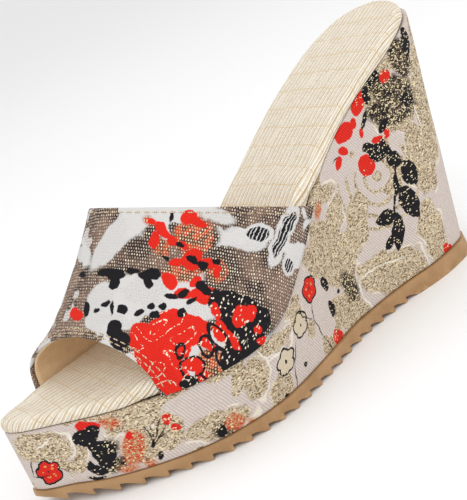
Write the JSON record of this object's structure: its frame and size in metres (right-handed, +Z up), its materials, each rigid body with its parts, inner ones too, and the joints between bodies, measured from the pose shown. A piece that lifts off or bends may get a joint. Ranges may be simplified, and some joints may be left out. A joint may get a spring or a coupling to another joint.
{
  "type": "wedge slide sandal",
  "caption": "Left wedge platform slide sandal with fabric-covered wedge, woven footbed, wide printed vamp and toothed rubber outsole.",
  "frame": {"origin": "on the ground under the middle of the shoe's box", "axes": "+X from the toe to the heel, +Y to the inner side of the foot, +Z up"},
  "size_m": [0.2142, 0.0832, 0.1067],
  "materials": {
    "outsole_rubber": "satin, slightly translucent honey brown",
    "cork": "matte pressed cork",
    "wedge_fabric": "printed woven fabric with metallic thread",
    "vamp_fabric": "printed woven fabric with metallic thread",
    "footbed_weave": "matte straw-like weave",
    "board": "pressed fibre",
    "foam": "soft foam",
    "interlining": "plain woven",
    "lining": "smooth coated lining",
    "steel": "cold rolled"
  },
  "bodies": {
    "root": {"outsole": "outsole_rubber", "wedge_core": "cork", "wedge_cover": "wedge_fabric", "lasting_filler": "cork", "insole_board": "board", "footbed_foam": "foam", "footbed_cover": "footbed_weave", "steel_shank": "steel", "shank_rivet_front": "steel", "shank_rivet_rear": "steel", "heel_nail_1": "steel", "heel_nail_2": "steel", "heel_nail_3": "steel", "heel_nail_4": "steel", "heel_nail_5": "steel", "vamp_outer": "vamp_fabric", "vamp_interlining": "interlining", "vamp_lining": "lining"}
  },
  "joints": []
}
